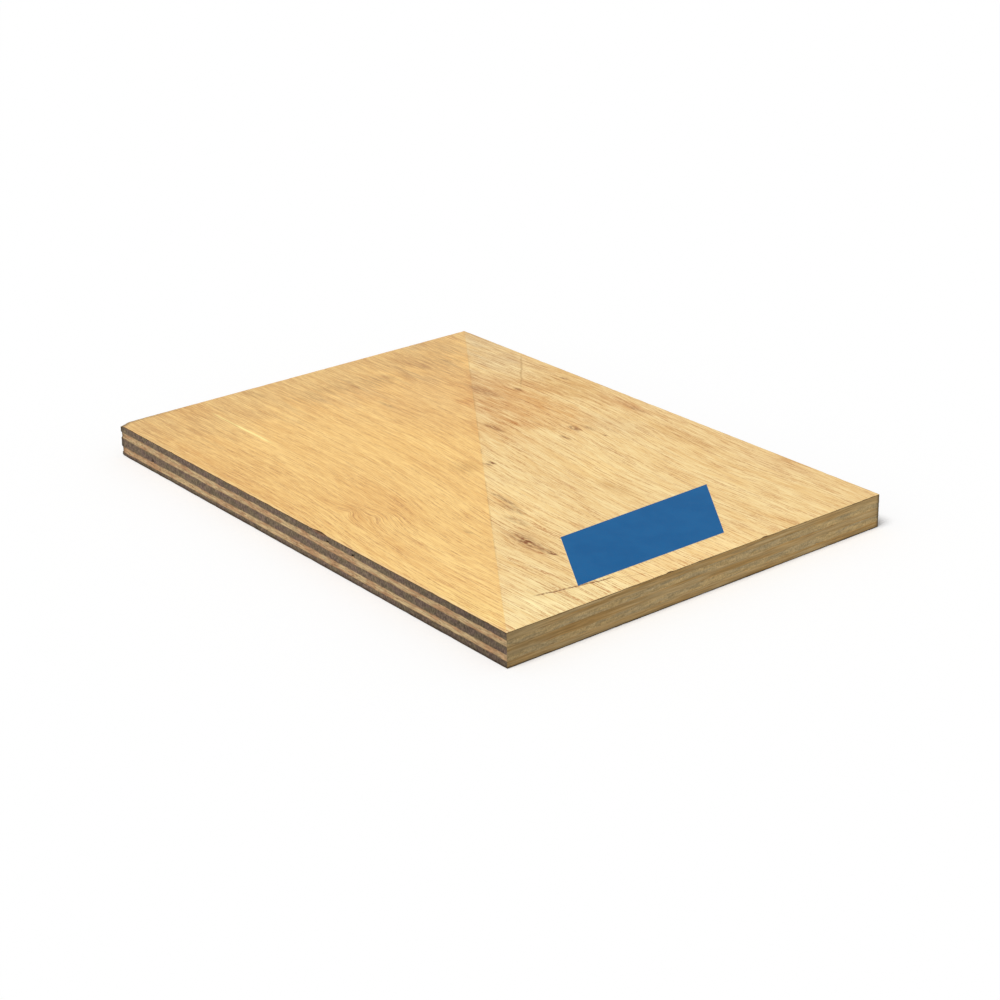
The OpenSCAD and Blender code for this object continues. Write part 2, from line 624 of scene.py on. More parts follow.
def handled_grime_and_end_shade(slot, points):
    """Grime from hands on the near side, and painted shade on the right end."""
    x, y = points[:, 0], points[:, 1]
    near_side, right_end = y < edge_band - half_size[1], x > half_size[0] - edge_band
    on_side = handled_share[slot] * np.clip((x - handled_from) / handled_run, 0, 1)
    # Painted shade on the right end: darker towards the near side and the near right corner, lighter
    # towards the far side.
    on_end = near_corner_shade * near_corner(points, 1, near_corner_reach) - end_fade * y / half_size[1]
    return np.where(right_end, on_end, on_side * near_side)[:, None]


print("grime takes up to", max(grime_and_shade_share.values()), "of the light")

# %% Stain and painted shade of the sawn edges
# Points deep inside the sheet, as in the gaps, are painted dark as shade, and so are the mouths of the
# gaps.
dark_from, shade_inside, gap_shade = 1.5, 0.12, 0.75
torn_height, torn_glow = 1.2, np.array((0.75, 0.2, 0.0))


def edge_stain(ply, slot, points):
    """Share of each colour's light that the sawn edges of a ply give back, with dirt and painted shade."""
    light = np.ones((len(points), 4))
    light[:, :3] -= grime_and_foot_shade(points)
    inside = half_size - np.abs(points[:, :2])
    light[inside.min(axis=1) > dark_from, :3] = shade_inside
    light[:, :3] *= 1 - handled_grime_and_end_shade(slot, points)
    over_glue = points[:, 2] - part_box(ply)[0].z / mm
    for place in gap_places.get(ply, ()):
        # Painted shade round the mouth of the gap.
        gap_shadow = np.exp(-(((points[:, 0] - place) / gap_width) ** 2) - (over_glue / gap_height) ** 2)
        light[:, :3] *= 1 - (gap_shade * gap_shadow * (points[:, 1] < 0))[:, None]
    over_tear = points[:, 2] - line_heights[face_line] + torn_height
    torn = chip_share(*points[:, :2].T) * np.clip(over_tear, 0, 1)
    light[:, :3] *= 1 + torn[:, None] * torn_glow
    return light


print("deep in a gap,", shade_inside, "of the light is left")

# %% [markdown]
# ## Soaked glue
# Glue has soaked into the plies where they meet, so that there the tones of two plies run together. The
# shader could blend them by height, but the glue lines wander, so the rings of points along them are
# toned instead. The first share is for the long sides and the second for the ends.

# %% Tones along the glue lines
soaked_lines = range(2, 6)
soaked_light = {
    "crossband": ((1.2, 1.12, 1.02), (1.02, 1.05, 1.12)),
    "core_ply": ((0.76, 0.74, 0.72), (0.98, 0.95, 0.90)),
}


def soaked_glue(stain, outline, slot, number, rows):
    """Tones the two rings of a thick ply that lie on glue lines between thick plies."""
    for row, line in ((1, number), (rows - 2, number + 1)):
        if line in soaked_lines:
            ring = slice(row * outline.count, (row + 1) * outline.count)
            stain[ring, :3] *= np.array(soaked_light[slot])[outline.side % 2]


print("glue has soaked in along", len(soaked_lines), "lines")

# %% [markdown]
# ## The five thick plies
# Each thick ply is the same stack of rings, with its own grain, seed and damage. The near left corner has
# lost some wood: the crossbands are rubbed a little round, and the softer core plies have splintered back
# behind them. A bevel would leave that corner smooth, so it is rounded first and then made ragged by noise.

# %% Sawn edges of the thick plies
edge_levels = 9
rubbed_reach, rubbed_depth = np.array((0.8, 0.8)), 0.25
splinter_reach, splinter_depth = np.array((2.4, 1.6)), 0.7
ragged_reach, ragged_length, ragged_width = 2.5, 0.8, 0.6
side_spacing = 400


def along_edges(outline, place):
    """Place along the edge of each station, with a spacing that keeps the four sides apart."""
    return np.where(outline.side % 2 == 0, place[:, 0], place[:, 1]) + side_spacing * outline.side


def sawn_wall(ply, number, grain_axis):
    """Rings of points up the sawn edge of a thick ply."""
    outline, splintered = edge_outline, grain_axis == 0
    place = worn_corner(outline.place, splinter_reach if splintered else rubbed_reach)
    low, high = glue_line(number, place), glue_line(number + 1, place)
    height = low + np.linspace(0, 1, edge_levels)[:, None] * (high - low)
    run = np.tile(along_edges(outline, place), (edge_levels, 1))
    across = end_grain_relief(run, height, 10 * number)
    along = long_grain_relief(run, height, 10 * number + 5)
    depth = np.where(outline.side % 2 != grain_axis, across, along)
    from_corner = np.linalg.norm(outline.place - corners[0], axis=1)
    ragged = smooth_noise(run / ragged_length, height / ragged_width, 10 * number + 8)
    ragged *= np.exp(-from_corner / ragged_reach)
    depth += (splinter_depth if splintered else rubbed_depth) * ragged
    depth = np.maximum(depth, core_gaps(ply, outline, height - low))
    return np.dstack([place - outline.out * depth[..., None], height])


print("the near left corner loses up to", splinter_reach.max(), "mm of wood")

# %% Model the thick plies
cap_inset = 10.0
wall_strips = 0.0, 0.9
cap_boxes = ((0, 0.92), (0.48, 1)), ((0.52, 0.92), (1, 1))


def thick_ply(ply, number, grain_axis, finishes, slot):
    """One thick ply between two glue lines; its grain runs along axis 0 or 1 of the sheet."""
    outline = edge_outline
    inner, heights = outline.place * (1 - cap_inset / half_size), line_heights[number:number + 2]
    low_ring, top_ring = (np.column_stack([inner, np.full(outline.count, height)]) for height in heights)
    points = np.concatenate([low_ring[None], sawn_wall(ply, number, grain_axis), top_ring[None]])
    rows, points = len(points), points.reshape(-1, 3)

    quads, places, sides = ring_faces(outline, rows, *wall_strips)
    caps = np.arange(outline.count)[::-1], np.arange(outline.count) + (rows - 1) * outline.count
    faces = quads.tolist() + [cap.tolist() for cap in caps]
    cap_places = [plan_map(points[cap], *box) for cap, box in zip(caps, cap_boxes)]
    slots = np.concatenate([(sides % 2 != grain_axis).astype(int), (0, 0)])
    grain, stain = points if grain_axis == 0 else points[:, (1, 0, 2)], edge_stain(ply, slot, points)
    soaked_glue(stain, outline, slot, number, rows)
    piece = make_piece(
        ply + "_sawn", points, faces, np.concatenate([places.reshape(-1, 2), *cap_places]), slots, finishes,
        {"grain": ("FLOAT_VECTOR", "vector", grain), "stain": ("FLOAT_COLOR", "color", stain)},
    )
    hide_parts(ply)


for number, ply in enumerate(plies):
    if "crossband" in ply:
        thick_ply(ply, number, 1, crossband_finishes, "crossband")
    elif "core" in ply:
        thick_ply(ply, number, 0, core_finishes, "core_ply")

# %% [markdown]
# ## Where the face's grain runs
# On the face the grain runs along the sheet, but not like ruled lines. It drifts by a few degrees in the
# middle, parts round four small knots and turns in two swirls near the long side. Bending the noise itself
# would be hard to steer, so the place that the noise is asked for is bent instead: a hill added to the
# place across the grain draws arches, and a squeeze draws lines that part and close again. Below, a swirl
# has a place, a reach and a height, and a knot has a place and a reach.

# %% Bend the grain
drift_height, drift_from, drift_to = 14.0, -60.0, 110.0
sway_height, sway_length, sway_width = 2.4, 70.0, 30.0
swirls = {(13.0, -93.0): (6.0, -4.4), (29.0, -86.0): (8.0, -3.6)}
swirl_stretch, curl_height, curl_length, curl_width = 1.5, 2.2, 7.0, 5.0
knots = {(6.5, 51.6): 6.0, (-0.5, 64.0): 5.0, (100.0, -51.0): 7.0, (34.0, -2.0): 4.0}
knot_stretch, knot_squeeze = 2.2, 0.55


def face_grain(x, y):
    """Places along and across the grain of the face."""
    across = y + drift_height * smooth_step((x - drift_from) / (drift_to - drift_from))
    across += sway_height * (smooth_noise(x / sway_length + 9, y / sway_width + 9, 301) - 0.5)
    curl = curl_height * (smooth_noise(x / curl_length + 60, y / curl_width + 60, 302) - 0.5)
    for (swirl_x, swirl_y), (reach, height) in swirls.items():
        away = np.hypot((x - swirl_x) / swirl_stretch, y - swirl_y) / reach
        across += (height + curl) * np.exp(-away * away)
    for (knot_x, knot_y), reach in knots.items():
        near = np.exp(-(((x - knot_x) / (knot_stretch * reach)) ** 2) - ((y - knot_y) / reach) ** 2)
        across -= knot_squeeze * (y - knot_y) * near
    return x, across


print("grain drifts by", drift_height, "mm and parts round", len(knots), "knots")

# %% [markdown]
# ## Stains and marks
# The face has seen some use: it is darker towards the left end, and has a grey bloom at the far corner,
# orange patches, brown knots and smears. They could be textures, but a few dozen soft spots are easier
# to list. A stain has a place, a reach along and across the grain, and the share of red, green
# and blue light that it gives back; over 1, it brightens. A mark is a small brown spot with a strength.
# Noise drawn out along the grain frays the rims of both.

# %% Paint the stains and the marks
stains = (
    ((-178, 0), (66, 400), (0.85, 0.86, 0.94)),
    ((-170, -120), (5, 5), (0.3, 0.27, 0.25)),
    ((-146, 68), (18, 24), (0.86, 0.81, 0.79)),
    ((-138, -2), (11, 27), (0.85, 0.82, 0.81)),
    ((-130, 33), (10, 20), (0.85, 0.82, 0.81)),
    ((-162, -39), (9, 5), (0.86, 0.84, 0.84)),
    ((-163, -79), (22, 10), (0.90, 0.81, 0.72)),
    ((-166, 81), (9, 9), (0.84, 0.82, 0.88)),
    ((-131, 83), (9, 7), (0.88, 0.86, 0.89)),
    ((-114, 99), (50, 19), (0.94, 0.96, 1.03)),
    ((-116, -116), (106, 40), (0.92, 0.89, 0.88)),
    ((-85, 40), (62, 52), (0.90, 0.87, 0.91)),
    ((-48, 66), (54, 25), (0.86, 0.69, 0.55)),
    ((-82, 65), (26, 10), (0.93, 0.89, 0.88)),
    ((-56, 101), (34, 20), (0.84, 0.74, 0.63)),
    ((-64, 93), (22, 11), (0.95, 0.88, 0.83)),
    ((100, 110), (42, 7), (0.94, 0.90, 0.88)),
    ((-6, 109), (26, 7), (0.84, 0.72, 0.66)),
    ((48, 100), (34, 6), (0.90, 0.84, 0.78)),
    ((10, 84), (28, 15), (0.90, 0.88, 0.91)),
    ((20, 124), (260, 32), (0.94, 0.91, 0.91)),
    ((-28, 32), (24, 14), (0.89, 0.78, 0.69)),
    ((-38, 44), (27, 9), (0.94, 0.86, 0.80)),
    ((77, 25), (15, 4), (0.86, 0.80, 0.74)),
    ((5, -14), (10, 8), (0.86, 0.82, 0.78)),
    ((-4, 34), (13, 8), (0.94, 0.88, 0.85)),
    ((52, -29), (18, 8), (0.92, 0.86, 0.81)),
    ((98, -51), (26, 8), (0.82, 0.72, 0.66)),
    ((14, -80), (30, 20), (0.95, 0.90, 0.86)),
    ((-120, 64), (24, 18), (0.91, 0.88, 0.88)),
    ((-120, 0), (20, 18), (0.91, 0.87, 0.89)),
    ((-40, -14), (40, 30), (1.04, 1.05, 1.03)),
    ((50, 36), (24, 18), (1.06, 1.07, 1.04)),
    ((62, -26), (40, 24), (1.06, 1.07, 1.06)),
    ((114, -104), (66, 30), (1.06, 1.10, 1.15)),
    ((134, -115), (34, 9), (1.03, 1.08, 1.08)),
    ((-67, 117), (13, 6), (0.94, 0.90, 0.83)),
    ((128, -66), (11, 7), (1.05, 1.11, 1.18)),
    ((149, -83), (9, 6), (0.94, 0.90, 0.87)),
    ((160, -74), (24, 40), (1.02, 1.12, 1.20)),
    ((170, -30), (32, 96), (1.10, 1.12, 1.14)),
)
marks = (
    ((95, -50.2), (10, 5), 0.55),
    ((103.5, -51.4), (9, 4.4), 0.6),
    ((112, -50.6), (7, 2.4), 0.5),
    ((118, -50.2), (3, 1.3), 1.3),
    ((6.5, 51.6), (5.5, 1.6), 0.9),
    ((-0.5, 64), (5, 2), 0.6),
    ((5.2, 70.3), (6, 2), 0.4),
    ((18.6, 69.6), (2.4, 1), 0.8),
    ((-65, 111), (4, 2), 0.6),
    ((-68.1, 79.8), (3.6, 2), 0.7),
    ((0, 108.5), (12, 1.5), 0.4),
    ((9.1, -0.7), (3, 1), 1.0),
    ((10.3, -3.5), (2.6, 0.9), 0.7),
    ((46, -26), (6, 1.3), 0.6),
    ((54, -27), (7, 1.5), 0.55),
    ((64, -31), (10, 2.6), 0.45),
    ((76, -38.5), (9, 3), 0.35),
    ((-80, 63), (18, 4), 0.35),
    ((-30, 31.5), (11, 2), 0.6),
    ((-99, 9), (10, 1.3), 0.35),
    ((72, -65), (4, 1.1), 0.45),
)
print(len(stains), "stains and", len(marks), "marks")

# %% Fray the stains and the marks
fray_length, fray_width = 9.0, 0.9
cloud_length, cloud_width = 22.0, 7.0
fray_share, spot_rim = 0.5, 1.25


def fraying(along, across):
    """How far noise moves the rim of a spot, in shares of its reach."""
    fray = smooth_noise(along / fray_length + 50, across / fray_width + 300, 311) - 0.5
    cloud = smooth_noise(along / cloud_length + 50, across / cloud_width + 300, 312) - 0.5
    return fray_share * (fray + cloud)


def frayed_spot(x, y, fray, place, reach):
    """1 in a spot and 0 outside it, with a soft and frayed rim."""
    away = np.hypot((x - place[0]) / reach[0], (y - place[1]) / reach[1]) + fray
    return smooth_step(spot_rim - away)


def stain_layer(*face_places):
    """Share of each colour's light that the stains give back."""
    light = np.ones((*face_places[0].shape, 4))
    for place, reach, share in stains:
        light[..., :3] *= 1 - frayed_spot(*face_places, place, reach)[..., None] * (1 - np.array(share))
    return light


def mark_layer(*face_places):
    """Strength of the marks, which add up where they overlap."""
    return sum(strength * frayed_spot(*face_places, place, reach) for place, reach, strength in marks)


print("fraying is drawn out", round(fray_length / fray_width), "times along the grain")

# %% [markdown]
# ## Lines on the face
# Some traces on the face are fine lines: scratches, a crack and a seam. A curve object could lie on the
# face for each, but a line is only a change of colour here, so the finish draws it between two points,
# with a bow, a waver and faded ends. For that, the face's finish has to know its place on the sheet.

# %% A finish that draws lines
class Face(Wood):
    """The sanded face, which also knows its place on the sheet."""

    def __init__(self, name):
        super().__init__(name)
        self.place = self.add("TexCoord", {}, "Object")

    def distance(self, start, way):
        """How far a place lies from a point, measured in millimetres along a way."""
        offset = self.add("VectorMath", {0: self.place, 1: Vector((*start, 0)) * mm}, operation="SUBTRACT")
        way = Vector((*way, 0)).normalized() / mm
        return self.add("VectorMath", {0: offset, 1: way}, "Value", operation="DOT_PRODUCT")

    def line(self, start, end, width, bow=0.0, waver=0.3, fade=0.25):
        """1 on a line between two points, bowed to its left, and 0 beyond its rims and faded ends."""
        way = Vector(end) - Vector(start)
        along = self.distance(start, way)
        bend = self.add("TexNoise", {"W": along, "Scale": 0.12}, noise_dimensions="1D")
        share = self.maths("DIVIDE", along, way.length)
        arch = self.maths("MULTIPLY", share, self.maths("SUBTRACT", 1.0, share))
        beside = self.maths("MULTIPLY_ADD", arch, -4.0 * bow, self.distance(start, (-way.y, way.x)))
        beside = self.maths("ADD", beside, self.ramp(bend, 0.0, 1.0, -2 * waver, 2 * waver))
        rim = self.ramp(self.maths("ABSOLUTE", beside), 0.2 * width, width, 1.0, 0.0)
        begun, left = self.ramp(share, 0.0, fade), self.ramp(share, 1 - fade, 1.0, 1.0, 0.0)
        return self.maths("MULTIPLY", rim, self.maths("MULTIPLY", begun, left))

    def strongest(self, *lines):
        """The strongest of several lines, each given with its strength."""
        strengths = [self.maths("MULTIPLY", line, strength) for line, strength in lines]
        while len(strengths) > 1:
            strengths.append(self.maths("MAXIMUM", strengths.pop(), strengths.pop()))
        return strengths[0]


print("lines ready:", [name for name in vars(Face) if not name.startswith("_")])

# %% [markdown]
# ## The face's wood
# A straight line from the far left corner to the near right one splits the face in two tones: the near
# half is warmer, yellower and smoother, and the far half is paler, rougher and full of open pores. Two
# materials would leave a hard step, so one material mixes two sets of colours by the distance from that
# line. Stains sink in unevenly, so their strength follows the streaks, and a mark breaks up into specks.

# %% Pores and colours of the face
# Tones of the yellower near half and of the paler far half.
yellow_half_light, yellow_half_dark = paint(254, 215, 139), paint(231, 180, 107)
pale_half_light, pale_half_dark = paint(252, 226, 167), paint(235, 195, 130)
pore_brown, mark_brown = paint(182, 116, 62), paint(132, 80, 46)


def open_pores(wood, seed):
    """Cut pores, long hairs of two sizes, with the shares by which they are gathered and broken."""
    coarse = wood.ramp(wood.streaks(26, 0.8, seed, detail=1.0), 0.54, 0.68)
    fine = wood.ramp(wood.streaks(20, 0.52, seed + 1, detail=1.0), 0.54, 0.67)
    gathered = wood.ramp(wood.streaks(34, 7, seed + 2), 0.36, 0.6, 0.75, 1.0)
    broken = wood.ramp(wood.streaks(2.8, 0.9, seed + 3, detail=1.0), 0.36, 0.58, 0.4, 1.0)
    pores = wood.maths("MULTIPLY", wood.maths("MAXIMUM", coarse, fine), gathered)
    return wood.maths("MULTIPLY", pores, broken), gathered, broken


def face_wood(wood, paler, streak, pores):
    """Colour of the sanded wood with its bands, streaks, pores, stains and marks."""
    broad = wood.streaks(130, 11, 21.0)
    band = wood.streaks(60, 2.6, 22.0)
    tone = wood.maths("MULTIPLY_ADD", broad, 0.35, wood.maths("MULTIPLY_ADD", band, 0.4, streak))
    tone = wood.ramp(tone, 0.62, 1.15)
    yellower, paler_tone = wood.mix(tone, yellow_half_light, yellow_half_dark), wood.mix(tone, pale_half_light, pale_half_dark)
    colour = wood.mix(paler, yellower, paler_tone)
    colour = wood.mix(wood.maths("MULTIPLY", pores, wood.ramp(paler, 0, 1, 0.6, 0.8)), colour, pore_brown)
    colour = wood.stained(colour, wood.ramp(streak, 0.3, 0.62, 0.5, 1.0))
    speck = wood.ramp(wood.streaks(4, 0.8, 28.0, detail=3.0), 0.34, 0.62, 0.2, 1.3)
    mark = wood.maths("MULTIPLY", wood.add("Attribute", {}, "Fac", attribute_name="mark"), speck)
    return wood.mix(wood.maths("MINIMUM", mark, 1.0), colour, mark_brown)


blue_gain = pale_half_light[2] / yellow_half_light[2]
print("the raw half gives back", round(blue_gain, 2), "times as much blue as the oiled half")

# %% [markdown]
# ## The face's finish
# Over the wood come its lines: a trace of the seam between the halves, a scratch beside it, a pale
# scratch near the left end with a painted highlight along its right part, and a curved crack at the right.
# The yellower half shines a little more than the paler one, which roughness shows better than another
# colour would. Streaks, pores and the crack make the bump.

# %% Face finish
seam_brown, scratch_and_glint_cream = paint(158, 112, 62), paint(255, 236, 158)
pores_open_to, pores_open_from, pores_open_at = (0.6, -1.0), 220.0, 300.0


def face_lines(wood, colour, seam_strength, broken):
    """The seam, the scratches and the crack over the wood's colour, and the crack by itself."""
    crack = wood.line((147.8, -89), (157.4, -43), 1.0, bow=-0.8, waver=0.4, fade=0.15)
    crack = wood.maths("MULTIPLY", crack, broken)
    tail = wood.line((155, -52), (168, -18), 0.6, bow=-1.0, waver=0.4)
    seam = wood.line(corners[3], corners[1], 0.6, waver=0.0)
    scratch = wood.line((-116, 121), (-66, 80), 0.9, waver=0.4)
    colour = wood.mix(wood.strongest((seam, seam_strength), (scratch, 0.35)), colour, seam_brown)
    colour = wood.mix(wood.strongest((crack, 0.95), (tail, 0.2)), colour, mark_brown)
    # A pale scrape, and over its right part a painted highlight, the glint, both in the cream colour.
    scrape = wood.line((-154, -72.1), (-90, -72.2), 0.8, waver=0.1, fade=0.15)
    glint = wood.line((-132, -72.1), (-88, -72.2), 1.1, waver=0.1)
    scratch_and_glint = wood.strongest((scrape, 0.6), (glint, 1.0))
    return wood.mix(scratch_and_glint, colour, scratch_and_glint_cream), crack


def face_finish():
    wood = Face("face_veneer_sanded")
    far_left, near_right = corners[3], corners[1]
    split = near_right - far_left
    # 1 on the paler far half of the face and 0 on the yellower near half.
    paler = wood.ramp(wood.distance(far_left, (-split[1], split[0])), -0.3, 0.3)
    streak = wood.streaks(9, 0.55, 23.0, detail=3.0)
    pores, gathered, broken = open_pores(wood, 24.0)
    towards_right = wood.distance(far_left, pores_open_to)
    open_grain = wood.ramp(towards_right, pores_open_from, pores_open_at, 0.83, 1.1)
    pores = wood.maths("MULTIPLY", pores, open_grain)
    colour = face_wood(wood, paler, streak, pores)
    colour, crack = face_lines(wood, colour, wood.ramp(gathered, 0.75, 1.0, 0.0, 0.25), broken)
    rough = wood.ramp(wood.maths("ADD", paler, streak), 0.3, 1.6, 0.46, 0.66)
    height = wood.maths("SUBTRACT", streak, wood.maths("MULTIPLY_ADD", pores, 0.6, crack))
    return wood.finish(colour, rough, height, 0.05, gloss=0.15)


face_show = face_finish()

# %% [markdown]
# ## The other finishes of the outer veneers
# The cut edges of the two veneers are thin dark lines; the lower one is darker still, partly as painted
# shade where it meets the floor. The back, which lies on the floor, is plain: a browner wood with the same
# open pores as the face, so it asks the same function for them, with another seed.

# %% Edge and back finishes
def veneer_edge_finish(name, dark, light):
    wood = Wood(name)
    streak = wood.streaks(7, 0.8, 31.0, detail=3.0)
    colour = wood.mix(wood.ramp(streak, noise_low, noise_high), dark, light)
    return wood.finish(colour, 0.85, streak, 0.1)


def back_finish():
    wood = Wood("back_veneer_plain")
    broad = wood.streaks(150, 10, 41.0)
    streak = wood.streaks(9, 0.55, 42.0, detail=3.0)
    pores, _, _ = open_pores(wood, 43.0)
    tone = wood.ramp(broad, noise_low, noise_high)
    colour = wood.mix(tone, paint(206, 166, 114), paint(224, 188, 136))
    colour = wood.shade(colour, streak, 0.84, 1.1)
    colour = wood.mix(wood.maths("MULTIPLY", pores, 0.65), colour, mark_brown)
    return wood.finish(colour, 0.7, wood.maths("SUBTRACT", streak, pores), 0.06, gloss=0.2)


face_edge = veneer_edge_finish("face_veneer_edge", paint(72, 53, 35), paint(114, 87, 58))
# The lower edge is darker partly as painted shade where it meets the floor.
back_edge = veneer_edge_finish("back_veneer_edge", paint(48, 38, 30), paint(80, 64, 48))
face_finishes, back_finishes = (face_show, face_edge), (back_finish(), back_edge)

# %% [markdown]
# ## Edges of the face and back veneer
# The two outer veneers are half a millimetre thick, and so brittle that their edges are never whole: small
# nicks all round, the chip on the near side and two larger nicks on the right end of the face. At the near
# left corner the veneer is rubbed back. Cutting each nick by hand would take long, so the small ones are
# the peaks of a noise that runs round the edge, and the others have a place and a depth.

# %% Edges of the outer veneers
arris, edge_wear = 0.2, 0.05
nick_length, nick_depth, nick_least, wear_length = 3.2, 0.3, 0.7, 1.3
chip_depth = 0.9
end_nicks, end_nick_depth, end_nick_reach = (-22.0, 40.0), 0.7, 2.2
rub_reach = 4.0
rub_depth = {1: 0.9, -1: 0.4}


def rubbed_back(place, facing):
    """Places on an outer veneer after its near left corner was rubbed back."""
    return place + rub_depth[facing] * near_corner(place, 0, rub_reach)[..., None]


def veneer_nicks(outline, facing):
    """Depth of the nicks and splinters round the edge of an outer veneer."""
    run = along_edges(outline, outline.place)
    nicks = nick_depth * peaks(smooth_noise(run / nick_length + 20, run * 0, 320 + facing), nick_least)
    if facing > 0:
        nicks = np.maximum(nicks, chip_depth * chip_share(*outline.place.T))
        for place in end_nicks:
            near = blunt_peak(outline.place[:, 1] - place, end_nick_reach)
            nicks = np.maximum(nicks, end_nick_depth * near * (outline.side == 1))
    return (nicks + edge_wear * smooth_noise(run / wear_length + 20, run * 0, 330 + facing))[:, None]


def veneer_rings(outline, facing, nicks):
    """Three rings from the glued side of an outer veneer to the foot of its bevel."""
    glue, show = (face_line, sheet_top) if facing > 0 else (back_line, 0.0)
    place, rings = rubbed_back(outline.place, facing), []
    bevel_foot = show - facing * arris - (facing > 0) * droop(place)
    for ring_place, height in (
        (outline.place * (1 - cap_inset / half_size), np.full(outline.count, line_heights[glue])),
        (place - edge_wear * outline.out, glue_line(glue, place)),
        (place - nicks * outline.out, bevel_foot),
    ):
        rings.append(np.column_stack([ring_place, height]))
    return np.concatenate(rings)


print("nicks reach", nick_depth, "mm and the chip", chip_depth, "mm into the face veneer")

# %% [markdown]
# ## Show sides of the face and back veneer
# A show side is a grid, finer across the grain than along it, because grain relief is long and narrow:
# sanding leaves the hard streaks a few hundredths of a millimetre higher than the soft ones. A small bevel
# joins the grid to the sawn edge. At the rubbed corner the whole grid is pushed inwards, most at the tip,
# so that its cells stay in order. Along the near side the rim of the face is lightened as a painted
# highlight, more towards the right end, and at the left end it is worn dark, which goes into the stain
# layer too.

# %% Grids
def grid_rim(columns, rows):
    """Numbers of the grid points on its rim, counterclockwise from the near left corner."""
    grid = np.arange(columns * rows).reshape(rows, columns)
    return np.concatenate([grid[0, :-1], grid[:-1, -1], grid[-1, :0:-1], grid[:0:-1, 0]])


def grid_cells(columns, rows):
    """Quads between the points of a grid."""
    cells = np.arange(columns * rows).reshape(rows, columns)
    return np.stack([cells[:-1, :-1], cells[:-1, 1:], cells[1:, 1:], cells[1:, :-1]], -1).reshape(-1, 4)


print("a grid of 3 by 3 has", len(grid_rim(3, 3)), "points on its rim")

# %% Points and layers of a show side
grain_relief, ridge_length, ridge_width = 0.05, 30.0, 1.7
back_sway, back_length, back_width = 3.0, 90.0, 40.0
# Painted highlight along the near rim of the face, and wear along its left rim.
rim_highlight, rim_highlight_width, rim_highlight_left = np.array((1.0, 1.13, 1.65)), 1.6, 0.5
worn_arris, worn_width, worn_run = 0.8, 3.0, 50.0


def rim_highlight_and_wear(x, y):
    """Share of light given back by the near rim of the face, lightened as a painted highlight, and its worn
    left rim.
    """
    from_end, from_side = x + half_size[0], y + half_size[1]
    highlight = rim_highlight_left + (1 - rim_highlight_left) * from_end / sheet_size[0]
    highlight *= np.clip(1 - from_side / rim_highlight_width, 0, 1)
    worn = np.clip(1 - from_end / worn_width, 0, 1)
    worn *= np.clip(1 - np.hypot(from_end, from_side) / worn_run, 0, 1)
    return (1 + highlight[..., None] * (rim_highlight - 1)) * (1 - worn_arris * worn[..., None])


def show_side(outline, facing, nicks, columns, rows):
    """Points of a show side, with the layers that are painted on them."""
    reach_x, reach_y = half_size
    x, y = np.meshgrid(np.linspace(-reach_x, reach_x, columns), np.linspace(-reach_y, reach_y, rows))
    stain, mark = np.ones((rows, columns, 4)), np.zeros((rows, columns))
    if facing > 0:
        show, (along, across) = sheet_top, face_grain(x, y)
        face_places = x, y, fraying(along, across)
        stain, mark = stain_layer(*face_places), mark_layer(*face_places)
        stain[..., :3] *= rim_highlight_and_wear(x, y)
    else:
        show, along = 0.0, x
        across = y + back_sway * smooth_noise(x / back_length + 9, y / back_width + 9, 340)

    ridges = smooth_noise(along / ridge_length + 90, across / ridge_width + 300, 350 + facing)
    points = np.dstack([rubbed_back(np.dstack([x, y]), facing), show - facing * grain_relief * ridges])
    points, rim = points.reshape(-1, 3), grid_rim(columns, rows)
    points[rim, :2] = rubbed_back(outline.place, facing) - (arris + nicks) * outline.out
    points[rim, 2] = show - facing * grain_relief
    points[:, 2] -= (facing > 0) * droop(points[:, :2])
    grain = np.column_stack([along.ravel(), across.ravel(), points[:, 2]])
    return points, rim, grain, stain.reshape(-1, 4), mark.ravel()


print("the rim is pale within", rim_highlight_width, "mm of the near side")

# %% Model the outer veneers
show_box, glued_box = ((0.003, 0.003), (0.997, 0.865)), ((0, 0.97), (1, 1))
edge_strips = 0.88, 0.96
face_grid, back_grid = (201, 341), (86, 161)


def outer_veneer(ply, facing, columns, rows, finishes, slot):
    """A thin veneer whose show side faces up (1) or down (-1)."""
    outline = Outline(np.linspace(0, 1, columns), np.linspace(0, 1, rows))
    nicks = veneer_nicks(outline, facing)
    rings = veneer_rings(outline, facing, nicks)
    grid, rim, grain, stain, mark = show_side(outline, facing, nicks, columns, rows)
    points = np.concatenate([rings, grid])

    quads, places, _ = ring_faces(outline, 3, *edge_strips)
    edge, top = np.arange(outline.count) + 2 * outline.count, rim + len(rings)
    bevel = np.stack([edge, np.roll(edge, -1), np.roll(top, -1), top], 1)
    shown = np.concatenate([bevel, grid_cells(columns, rows) + len(rings)])
    cap = np.arange(outline.count)[::-1]
    quads = np.concatenate([quads, shown])
    places = np.concatenate([places, plan_map(points, *show_box)[shown]])
    if facing < 0:
        quads, places, cap = quads[:, ::-1], places[:, ::-1], cap[::-1]
    maps = np.concatenate([places.reshape(-1, 2), plan_map(points[cap], *glued_box)])
    slots = np.ones(len(quads) + 1, int)
    slots[len(quads) - len(shown):-1] = 0
    piece = make_piece(ply + "_sanded", points, quads.tolist() + [cap.tolist()], maps, slots, finishes, {
        "grain": ("FLOAT_VECTOR", "vector", np.concatenate([rings, grain])),
        "stain": ("FLOAT_COLOR", "color", np.concatenate([np.ones((len(rings), 4)), stain])),
        "mark": ("FLOAT", "value", np.concatenate([np.zeros(len(rings)), mark])),
    })
    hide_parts(ply)


outer_veneer("face_veneer", 1, *face_grid, face_finishes, "face_veneer")
outer_veneer("back_veneer", -1, *back_grid, back_finishes, "back_veneer")

# %% [markdown]
# ## The label
# A bare blue label is stuck on the face near the right end, cut askew. One quad would be a picture of a
# label; this one has the thickness of paper, white cut edges and a skin that is pressed down a little
# unevenly, because it is a grid of cells between its four corners.

